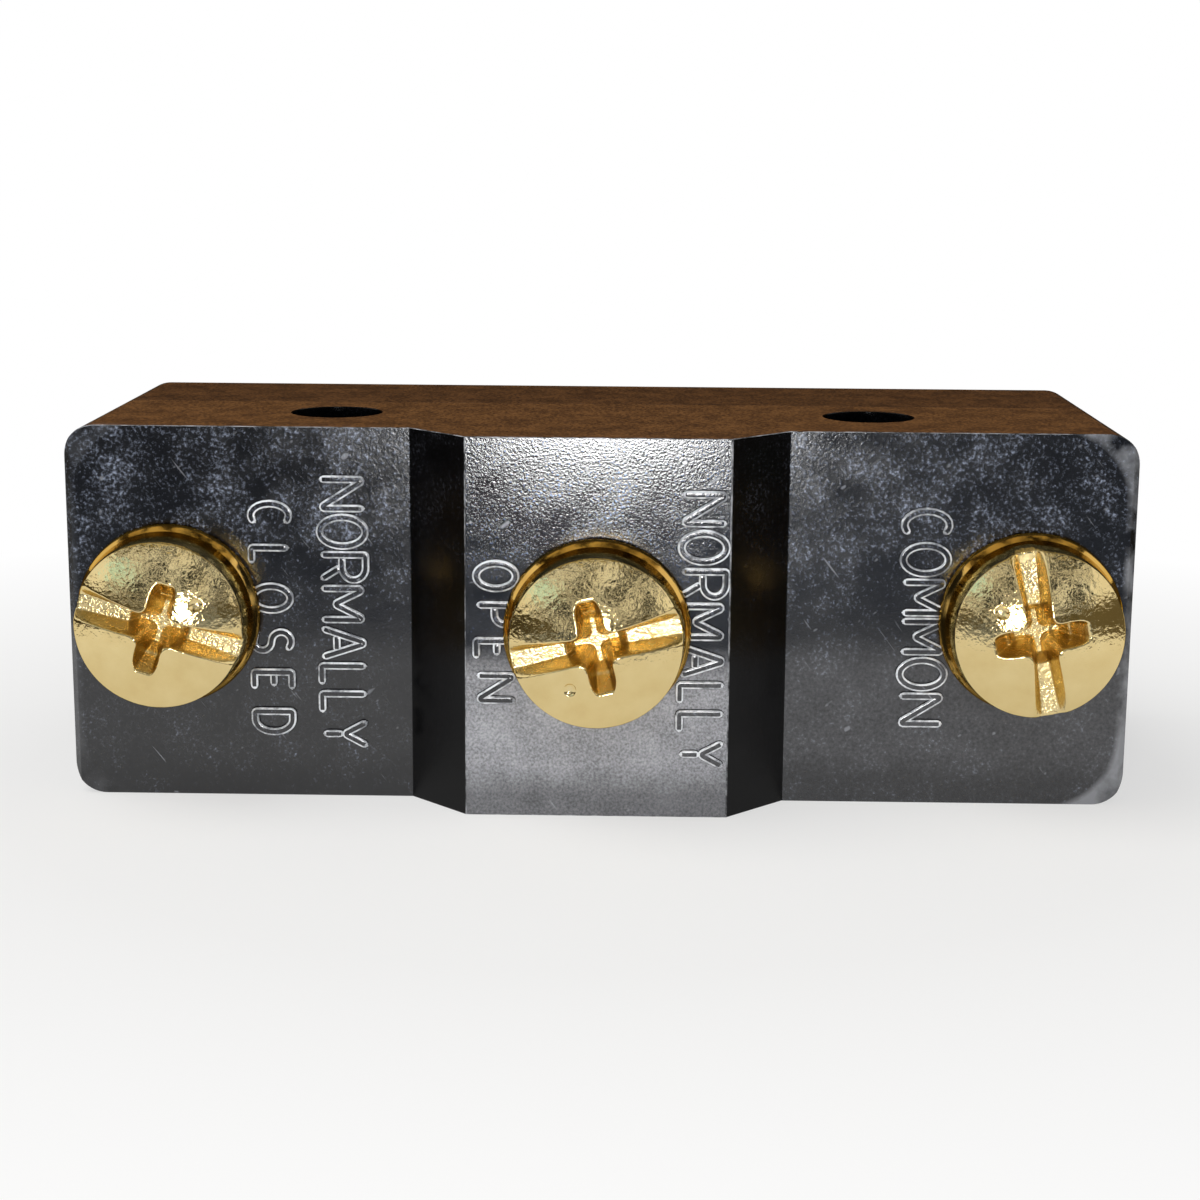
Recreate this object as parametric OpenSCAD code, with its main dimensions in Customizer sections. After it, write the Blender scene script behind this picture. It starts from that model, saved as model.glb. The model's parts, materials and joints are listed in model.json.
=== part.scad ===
// Snap-action switch with three screw terminals, lying on one of its side faces.
// X runs along the case, -Y faces the terminals, +Y the plunger, and Z runs up the mounting holes.
// The origin is midway between the mounting holes, on the face that the switch lies on.

/* [Case] */
// Length of case and cover
body_length = 49.2; // [47:0.1:56]
// Thickness of case and cover, along the mounting holes
body_thickness = 17.45; // [17:0.05:22]
// Radius of the four corners that run from terminals to plunger
corner_radius = 1.5; // [0.6:0.1:2]
// Hole centres to the two side terminal faces
side_face = 5.5; // [4.5:0.1:8]
// How far the middle terminal face stands proud of the side faces
middle_step = 2.8; // [1.5:0.1:4]
// Width of the middle terminal face
middle_width = 11.9; // [10:0.1:13]
// Sideways run of the slope on each side of the middle face
slope_run = 2.7; // [1:0.1:3.5]
// Bevel where the side terminal faces meet the ends
end_bevel = 0.3; // [0.2:0.05:1]
// Hole centres to the joint between case and cover
case_top = 4.2; // [4:0.1:6]
// Depth of the recess in the top of the case
case_recess = 1; // [0.6:0.1:1.4]

/* [Mounting holes] */
// Distance between the hole centres
hole_spacing = 25.4; // [22:0.1:27]
// Diameter of the holes, for 4 mm screws
hole_d = 4.3; // [3.2:0.05:4.6]

/* [Cover] */
// Height of the cover above the joint
cover_height = 8.2; // [7.5:0.1:12]
// Wall at the two ends of case and cover
end_wall = 1.3; // [1.1:0.05:1.6]
// Wall along the two long sides of case and cover
side_wall = 1.6; // [1.2:0.05:1.8]
// Thickness of the cover's roof
roof = 1.5; // [1:0.1:2]
// Bevel round the top of the cover
cover_bevel = 0.3; // [0.2:0.05:0.8]
// Height of the rib on the case that the cover laps over
lap_height = 0.7; // [0.4:0.05:1]
// Thickness of that rib
lap_thickness = 0.6; // [0.4:0.05:0.7]
// Clearance of the lap joint
lap_clearance = 0.05; // [0.02:0.01:0.1]
// Diameter of the collar round the plunger
boss_d = 9; // [7.5:0.1:12]
// Height of that collar
boss_height = 1.6; // [0.8:0.1:3]
// Bevel of that collar's rim
boss_bevel = 0.4; // [0.1:0.05:0.7]

/* [Cover rivets] */
// Diameter of the rivets
rivet_d = 2; // [1.6:0.1:2.4]
// Diameter of their heads
rivet_head_d = 3.4; // [2.8:0.1:3.6]
// Height of their heads
rivet_head_height = 0.7; // [0.4:0.05:1]
// How far each head lies below the roof
rivet_sink = 0.1; // [0.02:0.02:0.3]
// How deep they go into the case below its recess
rivet_depth = 5; // [3:0.1:6.5]
// Diameter of the posts inside the cover that they pass through
rivet_post_d = 3.8; // [3.4:0.1:4.2]
// How far those posts run into the walls beside them
rivet_post_bite = 0.4; // [0.2:0.05:0.6]
// Clearance round the rivets
rivet_clearance = 0.03; // [0.01:0.01:0.1]

/* [Plunger] */
// Diameter of the pin
plunger_d = 4.3; // [3.5:0.1:5]
// Running clearance round the pin
plunger_clearance = 0.05; // [0.02:0.01:0.1]
// How far the free pin stands out of the collar
plunger_projection = 2.3; // [1:0.1:4]
// Radius of the pin's domed end
plunger_dome = 5; // [3:0.1:12]
// Distance from the middle of the case, towards the normally closed end
plunger_offset = 3.6; // [1:0.1:5]
// Full travel of the pin
plunger_travel = 0.5; // [0.3:0.05:0.6]
// Diameter of the flange that keeps the pin in the cover
flange_d = 6.4; // [5.8:0.1:8]
// Height of that flange
flange_height = 0.9; // [0.5:0.1:1.2]
// Diameter of the stem that meets the blade
stem_d = 3; // [2:0.1:3.4]
// Gap between the pin and what stops it or meets it at rest
plunger_gap = 0.08; // [0.06:0.01:0.12]

/* [Terminals] */
// Side terminal screws to the ends of the case
terminal_from_end = 4.75; // [4.4:0.05:5]
// Diameter of the threaded inserts
insert_d = 5.6; // [5.2:0.1:6]
// How far the insert's flange stands proud of the terminal face, to lift the washer off the raised words
insert_proud = 0.5; // [0.4:0.05:0.8]
// How deep that flange goes into the case
insert_flange_depth = 0.6; // [0.4:0.05:1]
// Clearance between that flange and the cup of the washer
cup_clearance = 0.1; // [0.05:0.05:0.3]
// Diameter of the insert's neck, which passes through its bracket
insert_neck_d = 4.9; // [4.7:0.05:5.1]
// Diameter of the lip that is swaged over the bracket
insert_lip_d = 5.4; // [5.2:0.05:5.6]
// Height of that lip
insert_lip_height = 0.35; // [0.2:0.05:0.5]
// Clearance round inserts in the case and in the brackets
insert_clearance = 0.02; // [0.01:0.01:0.05]

/* [Screws] */
// Outside diameter of the thread
screw_d = 4; // [3.5:0.1:4.2]
// Radial clearance between thread and insert
thread_clearance = 0.05; // [0.02:0.01:0.1]
// Length of the threaded shank under the head
screw_length = 8; // [6:0.1:9]
// Diameter of the head where its dome starts
head_d = 7.65; // [6.5:0.05:8]
// Diameter of the head at its underside
head_base_d = 8; // [7:0.05:8.2]
// Height of the head's side
head_side = 1.85; // [1:0.05:2.2]
// Radius of the head's dome
dome_radius = 7.1; // [5.5:0.1:12]
// Width of the slot
slot_width = 1.2; // [0.8:0.05:1.5]
// Depth of the slot below the crown
slot_depth = 1.45; // [0.8:0.05:1.6]
// Span of the cross recess
cross_span = 4.2; // [3.4:0.1:4.6]
// Width of the wings of the cross recess
cross_width = 0.95; // [0.7:0.05:1.2]
// Depth of the cross recess below the crown
cross_depth = 2.2; // [1.6:0.05:2.4]
// Span of the cross recess at its floor
cross_floor = 2; // [1.2:0.1:2.4]
// Turn of the normally closed screw's slot
closed_angle = -16.5; // [-90:0.5:90]
// Turn of the normally open screw's slot
open_angle = 12.8; // [-90:0.1:90]
// Turn of the common screw's slot
common_angle = -79; // [-90:0.5:90]

/* [Washers] */
// Outside diameter of the cup washers
washer_d = 8.45; // [7.6:0.05:9]
// Height of the cup
washer_height = 0.75; // [0.6:0.05:1]
// Thickness of the sheet
washer_thickness = 0.45; // [0.3:0.05:0.55]
// Sideways run of the cup's sloped shoulder
washer_shoulder = 0.4; // [0.2:0.05:0.6]
// Height of the cup's upright rim
washer_rim = 0.3; // [0.15:0.05:0.4]
// Clearance of the washer's hole round the thread
washer_clearance = 0.15; // [0.05:0.05:0.3]
// Gap under the washer, and between washer and head
seat_gap = 0.04; // [0.02:0.01:0.08]

/* [Brackets] */
// Thickness of the brass strip
strip_thickness = 0.8; // [0.6:0.05:0.9]
// Gap between the brackets and the walls
bracket_gap = 0.35; // [0.2:0.05:0.5]
// Least distance between brackets on different circuits
insulation_gap = 0.95; // [0.7:0.05:1.2]
// Width of the normally closed bridge and of the normally open strip
strip_width = 4; // [3.4:0.1:4.6]
// Width of the foot beside the blade that carries the bridge
foot_width = 2.9; // [2:0.1:3]
// How far the end of the normally open strip is joggled up
joggle = 0.8; // [0.5:0.05:0.9]
// Diameter of the contacts
contact_d = 3; // [2.4:0.1:3.4]
// Height of a contact's face above its carrier
contact_height = 0.6; // [0.4:0.05:0.8]
// Radius of the contacts' domed faces
contact_crown = 10; // [6:0.5:20]
// Diameter of the moving contact's shank
contact_shank_d = 1.6; // [1.2:0.1:2]
// Gap between contacts that touch
contact_touch = 0.02; // [0.01:0.01:0.03]

/* [Snap blade] */
// Thickness of the spring sheet
blade_thickness = 0.3; // [0.2:0.05:0.4]
// Width between the ears of the common bracket
blade_width = 6.2; // [5.6:0.1:6.6]
// Width at the moving contact
blade_tip_width = 4; // [3.4:0.1:4.6]
// Gap between the blade and each ear
ear_gap = 0.3; // [0.2:0.05:0.4]
// How far the pivot lugs stand out past the ears
lug_overhang = 0.2; // [0.1:0.05:0.3]
// Length of the bar that carries the lugs
lug_length = 0.8; // [0.5:0.05:1]
// Depth of the notch in each ear behind the lug
notch_depth = 0.35; // [0.3:0.05:0.5]
// Length of each ear along the blade
ear_length = 2.6; // [2:0.1:3]
// Height of each ear above the blade
ear_rise = 1.3; // [0.8:0.1:1.6]
// Pivot to the nearest edge of the common insert's bracket ring
pivot_setback = 2.35; // [2.2:0.05:3.2]
// Length of the window in the blade
window_length = 10; // [8:0.1:10.5]
// Pivot to the window
window_setback = 3.8; // [3:0.1:4.4]
// Width of the bowed tongue
tongue_width = 2.4; // [1.8:0.1:2.8]
// Gap on each side of the tongue in its window
tongue_gap = 0.5; // [0.3:0.05:0.7]
// How far the tongue's end lies below the blade
tongue_drop = 1.7; // [1.4:0.05:1.8]
// How far the tongue bows out
tongue_bow = 0.8; // [0.5:0.05:0.9]
// Gap between the tongue's end and its seat
tongue_seat_gap = 0.2; // [0.1:0.05:0.3]

/* [Hidden] */
$fn = 96;
// Overshoot of a cut past the face that it breaks through
over = 1;

mid_z = body_thickness / 2;
middle_face = side_face + middle_step;
slope_foot = middle_width / 2 + slope_run;
floor_y = case_top - case_recess;
cover_top = case_top + cover_height;
ceiling = cover_top - roof;
inner_length = body_length - 2 * end_wall;
inner_thickness = body_thickness - 2 * side_wall;
terminal_x = body_length / 2 - terminal_from_end;

// Half width of the bracket plates round the inserts
ring = terminal_from_end - end_wall - bracket_gap;
// Places of the moving contact and of the blade's pivot
contact_x = -(terminal_x - ring - insulation_gap - strip_width / 2);
pivot_x = terminal_x - ring - pivot_setback;
plunger_x = -plunger_offset;
contact_gap = plunger_travel * (pivot_x - contact_x) / (pivot_x - plunger_x);

// Levels of the contact stack, from the case floor to the bridge
pad_y = floor_y + joggle + strip_thickness;
blade_low = pad_y + 2 * contact_height + contact_gap + contact_touch;
blade_mid = blade_low + blade_thickness / 2;
blade_high = blade_low + blade_thickness;
bridge_y = blade_high + 2 * contact_height + contact_touch;

// Rivets stand in opposite corners, with their posts against both walls
rivet_x = inner_length / 2 - rivet_post_d / 2 + rivet_post_bite;
rivet_z = inner_thickness / 2 - rivet_post_d / 2 + rivet_post_bite;
lap_top = case_top + lap_height + lap_clearance;

// Levels of a terminal, out from its face, with the washer's cup over the insert's flange
insert_flange_d = washer_d - 2 * (washer_shoulder + washer_thickness + cup_clearance);
washer_low = insert_proud + seat_gap - washer_height + washer_thickness;
head_low = washer_low + washer_height + seat_gap;
dome_rise = dome_radius - sqrt(pow(dome_radius, 2) - pow(head_d / 2, 2));
crown = head_side + dome_rise;

// Ears of the common bracket, measured from the middle of the blade
ear_inner = blade_width / 2 + ear_gap;
ear_outer = ear_inner + strip_thickness;
lug_reach = ear_outer + lug_overhang;

// Window and tongue of the blade
window_end = pivot_x - window_setback;
window_start = window_end - window_length;
tongue_seat_x = window_end - tongue_gap - strip_thickness;
tongue_root = [window_start, blade_mid];
tongue_tip = [tongue_seat_x - tongue_seat_gap, blade_mid - tongue_drop];

// Frames

// Stands children on a terminal face, their Z pointing out of it and their X along the case
module at_terminal(x, face) {
    translate([x, -face, mid_z]) rotate([90, 0, 0]) children();
}

// Stands children at a level above the hole centres, their Z pointing towards the plunger
module at_level(x, y, z = mid_z) {
    translate([x, y, z]) rotate([-90, 0, 0]) children();
}

// Extrudes an outline drawn in X and Z from one level to another, towards the plunger
module between_levels(low, high) {
    translate([0, high, 0]) rotate([90, 0, 0]) linear_extrude(high - low) children();
}

// Extrudes an outline drawn in X and Y, centred on a height
module across(width, z = mid_z) {
    translate([0, 0, z - width / 2]) linear_extrude(width) children();
}

// Shapes that repeat

// The outline of case and cover, seen from the terminals
module body_outline() {
    r = corner_radius;
    translate([-body_length / 2 + r, 0]) square([body_length - 2 * r, body_thickness]);
    translate([-body_length / 2, r]) square([body_length, body_thickness - 2 * r]);
    for (x = [-1, 1], z = [r, body_thickness - r])
        translate([x * (body_length / 2 - r), z]) circle(r);
}

// A rectangle drawn in X and Z about the middle of the body
module centred_outline(length, thickness) {
    translate([0, mid_z]) square([length, thickness], center = true);
}

// A plate drawn in X and Z, from a corner to the opposite one
module plate_outline(x0, x1, z0, z1) {
    translate([x0, z0]) square([x1 - x0, z1 - z0]);
}

module insert_shape(face) {
    body_end = face + floor_y;
    neck_end = body_end + strip_thickness;
    bore_d = screw_d + 2 * thread_clearance;
    difference() {
        union() {
            translate([0, 0, -insert_proud])
                cylinder(h = insert_proud + insert_flange_depth, d = insert_flange_d);
            cylinder(h = body_end, d = insert_d);
            cylinder(h = neck_end + insert_lip_height, d = insert_neck_d);
            translate([0, 0, neck_end]) cylinder(h = insert_lip_height, d = insert_lip_d);
        }
        translate([0, 0, -insert_proud - over])
            cylinder(h = insert_proud + neck_end + insert_lip_height + 2 * over, d = bore_d);
    }
}

module insert_seat(face) {
    extra = 2 * insert_clearance;
    translate([0, 0, -over]) cylinder(h = face + floor_y + 2 * over, d = insert_d + extra);
    translate([0, 0, -over])
        cylinder(h = insert_flange_depth + insert_clearance + over, d = insert_flange_d + extra);
}

module washer_shape() {
    outer = washer_d / 2;
    hole = screw_d / 2 + washer_clearance;
    shoulder = outer - washer_shoulder;
    translate([0, 0, washer_low]) rotate_extrude()
        polygon([
            [hole, washer_height - washer_thickness],
            [shoulder - washer_thickness, washer_height - washer_thickness],
            [outer - washer_thickness, 0],
            [outer, 0],
            [outer, washer_rim],
            [shoulder, washer_height],
            [hole, washer_height]
        ]);
}

module screw_recess() {
    translate([-head_base_d, -slot_width / 2, crown - slot_depth])
        cube([2 * head_base_d, slot_width, slot_depth + over]);
    intersection() {
        translate([0, 0, crown - cross_depth])
            cylinder(h = cross_depth, d1 = cross_floor, d2 = cross_span);
        union() {
            for (turn = [0, 90])
                rotate([0, 0, turn]) translate([-cross_span, -cross_width / 2, 0])
                    cube([2 * cross_span, cross_width, crown + over]);
        }
    }
}

module screw_shape(angle) {
    translate([0, 0, head_low]) rotate([0, 0, angle]) difference() {
        union() {
            cylinder(h = head_side, d1 = head_base_d, d2 = head_d);
            intersection() {
                translate([0, 0, head_side]) cylinder(h = dome_rise + over, d = head_d);
                translate([0, 0, crown - dome_radius]) sphere(dome_radius);
            }
            translate([0, 0, -screw_length]) cylinder(h = screw_length + head_side / 2, d = screw_d);
        }
        screw_recess();
    }
}

// A contact with a slightly domed face, which meets another one in the middle
module contact_disc() {
    intersection() {
        cylinder(h = contact_height, d = contact_d);
        translate([0, 0, contact_height - contact_crown]) sphere(contact_crown);
    }
}

// The hole in a bracket for the neck of its insert
module neck_hole(x) {
    at_level(x, floor_y - over)
        cylinder(h = strip_thickness + 2 * over, d = insert_neck_d + 2 * insert_clearance);
}

// Runs children at both rivets, at a level above the hole centres
module at_rivets(y) {
    for (side = [-1, 1]) at_level(side * rivet_x, y, mid_z + side * rivet_z) children();
}

// Housing

module case_profile() {
    half = body_length / 2;
    polygon([
        [-half, case_top],
        [-half, -side_face + end_bevel],
        [-half + end_bevel, -side_face],
        [-slope_foot, -side_face],
        [-middle_width / 2, -middle_face],
        [middle_width / 2, -middle_face],
        [slope_foot, -side_face],
        [half - end_bevel, -side_face],
        [half, -side_face + end_bevel],
        [half, case_top]
    ]);
}

module case() {
    pad_length = strip_width - strip_thickness;
    color("#24252b") {
        difference() {
            union() {
                intersection() {
                    between_levels(-middle_face, case_top) body_outline();
                    across(body_thickness) case_profile();
                }
                between_levels(floor_y, case_top + lap_height)
                    centred_outline(inner_length + 2 * lap_thickness, inner_thickness + 2 * lap_thickness);
            }
            between_levels(floor_y, case_top + lap_height + over)
                centred_outline(inner_length, inner_thickness);
            for (side = [-1, 1])
                translate([side * hole_spacing / 2, 0, -over])
                    cylinder(h = body_thickness + 2 * over, d = hole_d);
            for (side = [-1, 1]) at_level(side * terminal_x, -side_face) insert_seat(side_face);
            at_level(0, -middle_face) insert_seat(middle_face);
            at_rivets(floor_y - rivet_depth)
                cylinder(h = rivet_depth + over, d = rivet_d + 2 * rivet_clearance);
        }
        between_levels(floor_y, floor_y + joggle)
            translate([contact_x, mid_z]) square([pad_length, strip_width], center = true);
    }
}

// The posts run from the roof to the case floor, and stay clear of the case's rib
module rivet_posts() {
    foot_y = floor_y + lap_clearance;
    at_rivets(lap_top) cylinder(h = ceiling - lap_top + roof / 2, d = rivet_post_d);
    intersection() {
        at_rivets(foot_y) cylinder(h = lap_top - foot_y + over, d = rivet_post_d);
        between_levels(foot_y, lap_top + over)
            centred_outline(inner_length - 2 * lap_clearance, inner_thickness - 2 * lap_clearance);
    }
}

module cover() {
    half = body_length / 2;
    lap = lap_thickness + lap_clearance;
    color("#1f1d1d") difference() {
        union() {
            difference() {
                intersection() {
                    between_levels(case_top, cover_top) body_outline();
                    across(body_thickness) polygon([
                        [-half, case_top],
                        [half, case_top],
                        [half, cover_top - cover_bevel],
                        [half - cover_bevel, cover_top],
                        [-half + cover_bevel, cover_top],
                        [-half, cover_top - cover_bevel]
                    ]);
                    translate([-half, 0, 0]) rotate([90, 0, 90]) linear_extrude(body_length) polygon([
                        [case_top, 0],
                        [cover_top - cover_bevel, 0],
                        [cover_top, cover_bevel],
                        [cover_top, body_thickness - cover_bevel],
                        [cover_top - cover_bevel, body_thickness],
                        [case_top, body_thickness]
                    ]);
                }
                between_levels(case_top - over, ceiling) centred_outline(inner_length, inner_thickness);
                between_levels(case_top - over, lap_top)
                    centred_outline(inner_length + 2 * lap, inner_thickness + 2 * lap);
            }
            at_level(plunger_x, cover_top - roof / 2)
                cylinder(h = roof / 2 + boss_height - boss_bevel, d = boss_d);
            at_level(plunger_x, cover_top + boss_height - boss_bevel)
                cylinder(h = boss_bevel, d1 = boss_d, d2 = boss_d - 2 * boss_bevel);
            rivet_posts();
        }
        at_level(plunger_x, ceiling - over)
            cylinder(h = roof + boss_height + 2 * over, d = plunger_d + 2 * plunger_clearance);
        at_rivets(floor_y - over)
            cylinder(h = cover_top - floor_y + 2 * over, d = rivet_d + 2 * rivet_clearance);
        at_rivets(cover_top - rivet_head_height - rivet_sink)
            cylinder(h = rivet_head_height + over, d = rivet_head_d + 2 * rivet_clearance);
    }
}

module cover_rivets() {
    head_y = cover_top - rivet_head_height - rivet_sink;
    tail_y = floor_y - rivet_depth + rivet_clearance;
    color("#b9a36a") {
        at_rivets(tail_y) cylinder(h = head_y - tail_y + rivet_head_height / 2, d = rivet_d);
        at_rivets(head_y) cylinder(h = rivet_head_height, d = rivet_head_d);
    }
}

// Plunger

module plunger() {
    tip_y = blade_high + plunger_gap;
    flange_y = ceiling - plunger_gap - flange_height;
    end_y = cover_top + boss_height + plunger_projection;
    color("#b8b8ba") {
        at_level(plunger_x, tip_y) cylinder(h = flange_y - tip_y + flange_height / 2, d = stem_d);
        at_level(plunger_x, flange_y) cylinder(h = flange_height, d = flange_d);
        intersection() {
            at_level(plunger_x, flange_y) cylinder(h = end_y - flange_y, d = plunger_d);
            translate([plunger_x, end_y - plunger_dome, mid_z]) sphere(plunger_dome);
        }
        at_level(plunger_x, flange_y)
            cylinder(h = end_y - flange_y - plunger_projection / 2, d = plunger_d);
    }
}

// Snap mechanism

// A strip of sheet along the arc from one point to another, which bows down by sag
module bowed_strip(start, stop, sag, sheet) {
    chord = stop - start;
    length = norm(chord);
    radius = (pow(length / 2, 2) + pow(sag, 2)) / (2 * sag);
    up = [-chord.y, chord.x] / length;
    centre = (start + stop) / 2 + up * (radius - sag);
    reach = 1 + sheet / radius;
    intersection() {
        difference() {
            translate(centre) circle(radius + sheet / 2);
            translate(centre) circle(radius - sheet / 2);
        }
        polygon([
            centre,
            centre + reach * (start - centre),
            centre + reach * (start - centre) - up * sag * 2,
            centre + reach * (stop - centre) - up * sag * 2,
            centre + reach * (stop - centre)
        ]);
    }
}

module snap_blade() {
    tip_x = contact_x - strip_width / 2;
    taper_x = plunger_x - stem_d / 2;
    color("#c08a4a") {
        between_levels(blade_low, blade_high) translate([0, mid_z]) difference() {
            union() {
                polygon([
                    [pivot_x + lug_length, -blade_width / 2],
                    [pivot_x + lug_length, blade_width / 2],
                    [taper_x, blade_width / 2],
                    [contact_x, blade_tip_width / 2],
                    [tip_x, blade_tip_width / 2],
                    [tip_x, -blade_tip_width / 2],
                    [contact_x, -blade_tip_width / 2],
                    [taper_x, -blade_width / 2]
                ]);
                translate([pivot_x, -lug_reach]) square([lug_length, 2 * lug_reach]);
            }
            translate([window_start, -tongue_width / 2 - tongue_gap])
                square([window_length, tongue_width + 2 * tongue_gap]);
            translate([contact_x, 0]) circle(d = contact_shank_d + 2 * insert_clearance);
        }
        across(tongue_width) bowed_strip(
            tongue_root - [blade_thickness, 0], tongue_tip, tongue_bow, blade_thickness
        );
    }
}

module moving_contact() {
    color("#d5d5d0") {
        at_level(contact_x, blade_high) contact_disc();
        at_level(contact_x, blade_low) rotate([180, 0, 0]) contact_disc();
        at_level(contact_x, blade_low - contact_height / 2)
            cylinder(h = blade_thickness + contact_height, d = contact_shank_d);
    }
}

module closed_bracket() {
    wall_z = body_thickness - side_wall - bracket_gap;
    bridge_start = contact_x - strip_width / 2;
    bridge_end = contact_x + strip_width / 2;
    color("#c9a24b") difference() {
        union() {
            between_levels(floor_y, floor_y + strip_thickness) {
                plate_outline(-terminal_x - ring, -terminal_x + ring, mid_z - ring, wall_z);
                plate_outline(-terminal_x - ring, bridge_end, wall_z - foot_width, wall_z);
            }
            between_levels(floor_y, bridge_y + strip_thickness)
                plate_outline(bridge_start, bridge_end, wall_z - strip_thickness, wall_z);
            between_levels(bridge_y, bridge_y + strip_thickness)
                plate_outline(bridge_start, bridge_end, mid_z - strip_width / 2, wall_z);
        }
        neck_hole(-terminal_x);
    }
}

module closed_contact() {
    color("#d5d5d0") at_level(contact_x, bridge_y) rotate([180, 0, 0]) contact_disc();
}

module open_bracket() {
    pad_end = contact_x - strip_width / 2;
    pad_start = contact_x + strip_width / 2;
    bend = pad_start + joggle;
    high = floor_y + strip_thickness;
    color("#c9a24b") difference() {
        union() {
            across(strip_width) polygon([
                [0, floor_y],
                [bend, floor_y],
                [pad_start, floor_y + joggle],
                [pad_end, floor_y + joggle],
                [pad_end, high + joggle],
                [pad_start + strip_thickness / 2, high + joggle],
                [bend + strip_thickness / 2, high],
                [0, high]
            ]);
            between_levels(floor_y, high) plate_outline(-ring, ring, mid_z - ring, mid_z + ring);
        }
        neck_hole(0);
    }
}

module open_contact() {
    color("#d5d5d0") at_level(contact_x, pad_y) contact_disc();
}

// One ear, seen along the blade's width, with the notch that the blade's lug hooks into
module ear_profile() {
    outer_x = pivot_x + lug_length / 2;
    apex_x = pivot_x - notch_depth;
    mouth = outer_x - apex_x;
    difference() {
        translate([outer_x - ear_length, floor_y])
            square([ear_length, blade_mid + ear_rise - floor_y]);
        polygon([
            [apex_x, blade_mid],
            [outer_x + over, blade_mid - mouth - over],
            [outer_x + over, blade_mid + mouth + over]
        ]);
    }
}

module common_bracket() {
    high = floor_y + strip_thickness;
    ear_end = pivot_x + lug_length / 2;
    ear_start = ear_end - ear_length;
    seat_top = tongue_tip.y + strip_thickness;
    seat_notch = strip_thickness / 4;
    color("#c9a24b") difference() {
        union() {
            between_levels(floor_y, high) {
                plate_outline(ear_start, terminal_x + ring, mid_z - ring, mid_z + ring);
                plate_outline(ear_start, ear_end, mid_z - ear_outer, mid_z + ear_outer);
                plate_outline(tongue_seat_x, ear_start, mid_z - tongue_width / 2, mid_z + tongue_width / 2);
            }
            for (side = [-1, 1])
                across(strip_thickness, mid_z + side * (ear_inner + ear_outer) / 2) ear_profile();
            across(tongue_width) difference() {
                translate([tongue_seat_x, floor_y]) square([strip_thickness, seat_top - floor_y]);
                translate([tongue_seat_x, tongue_tip.y]) rotate(45)
                    square(2 * seat_notch, center = true);
            }
        }
        neck_hole(terminal_x);
    }
}

// Terminals

module closed_insert() {
    color("#c9a24b") at_level(-terminal_x, -side_face) insert_shape(side_face);
}

module open_insert() {
    color("#c9a24b") at_level(0, -middle_face) insert_shape(middle_face);
}

module common_insert() {
    color("#c9a24b") at_level(terminal_x, -side_face) insert_shape(side_face);
}

module closed_washer() {
    color("#d9b45a") at_terminal(-terminal_x, side_face) washer_shape();
}

module open_washer() {
    color("#d9b45a") at_terminal(0, middle_face) washer_shape();
}

module common_washer() {
    color("#d9b45a") at_terminal(terminal_x, side_face) washer_shape();
}

module closed_screw() {
    color("#d9b45a") at_terminal(-terminal_x, side_face) screw_shape(closed_angle);
}

module open_screw() {
    color("#d9b45a") at_terminal(0, middle_face) screw_shape(open_angle);
}

module common_screw() {
    color("#d9b45a") at_terminal(terminal_x, side_face) screw_shape(common_angle);
}

case();
cover();
cover_rivets();
plunger();
snap_blade();
moving_contact();
closed_bracket();
closed_contact();
open_bracket();
open_contact();
common_bracket();
closed_insert();
open_insert();
common_insert();
closed_washer();
open_washer();
common_washer();
closed_screw();
open_screw();
common_screw();
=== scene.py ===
import json
import math

import bmesh
import bpy
import numpy as np
from mathutils import Matrix, Vector


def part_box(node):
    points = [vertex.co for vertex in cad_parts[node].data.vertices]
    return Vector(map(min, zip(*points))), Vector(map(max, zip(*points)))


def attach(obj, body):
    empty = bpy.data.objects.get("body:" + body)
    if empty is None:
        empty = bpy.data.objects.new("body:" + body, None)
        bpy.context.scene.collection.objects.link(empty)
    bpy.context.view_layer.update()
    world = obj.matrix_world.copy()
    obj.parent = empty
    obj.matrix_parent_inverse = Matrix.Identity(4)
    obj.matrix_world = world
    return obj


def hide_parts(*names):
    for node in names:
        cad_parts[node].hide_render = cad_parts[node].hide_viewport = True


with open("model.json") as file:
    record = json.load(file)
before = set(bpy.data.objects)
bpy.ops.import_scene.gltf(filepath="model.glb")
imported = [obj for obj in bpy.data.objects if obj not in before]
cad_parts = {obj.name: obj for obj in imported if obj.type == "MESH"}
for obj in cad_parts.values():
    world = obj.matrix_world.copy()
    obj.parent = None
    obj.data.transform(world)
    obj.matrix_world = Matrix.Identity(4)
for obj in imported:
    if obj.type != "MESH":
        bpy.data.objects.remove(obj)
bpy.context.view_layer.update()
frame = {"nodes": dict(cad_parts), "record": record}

# Snap-action switch with three screw terminals, lying on one side face.
# X runs along the case, -Y faces the terminals, +Y the plunger, Z runs up the mounting holes.

MM = 0.001
TERMINALS = ("closed", "open", "common")

# Places that the frame gives, in metres
HOLE_MARGIN = 0.2 * MM
mounts = {mount["name"]: mount for mount in frame["record"]["mounts"]}
terminal_place = {
    name: Vector(mounts[f"{name}_wire_terminal"]["pos_m"]) for name in TERMINALS
}
case_low, case_high = (Vector(corner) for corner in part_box("case"))
body_height = case_high.z
middle_face_y = case_low.y
hole_x = Vector(mounts["common_end_hole"]["pos_m"]).x
hole_reach = mounts["common_end_hole"]["dims"]["r_mm"] * MM + HOLE_MARGIN

# Camera, solved from the photograph's edges, holes and screws, with its turns in degrees
IMAGE_PX = 1200
FOCAL_PX = 2298.36
SENSOR_MM = 36.0
CAMERA_PLACE = Vector((1.951, -109.353, 31.012)) * MM
CAMERA_YAW = 1.0422
CAMERA_PITCH = -11.6863
CAMERA_ROLL = -0.4129
CAMERA_CLIP = 0.005  # metres

# Turned and gridded meshes
MESH_MERGE = 0.0005  # millimetres
ROUND_SHARE = 0.45  # the most of a side that a rounded corner takes

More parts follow.
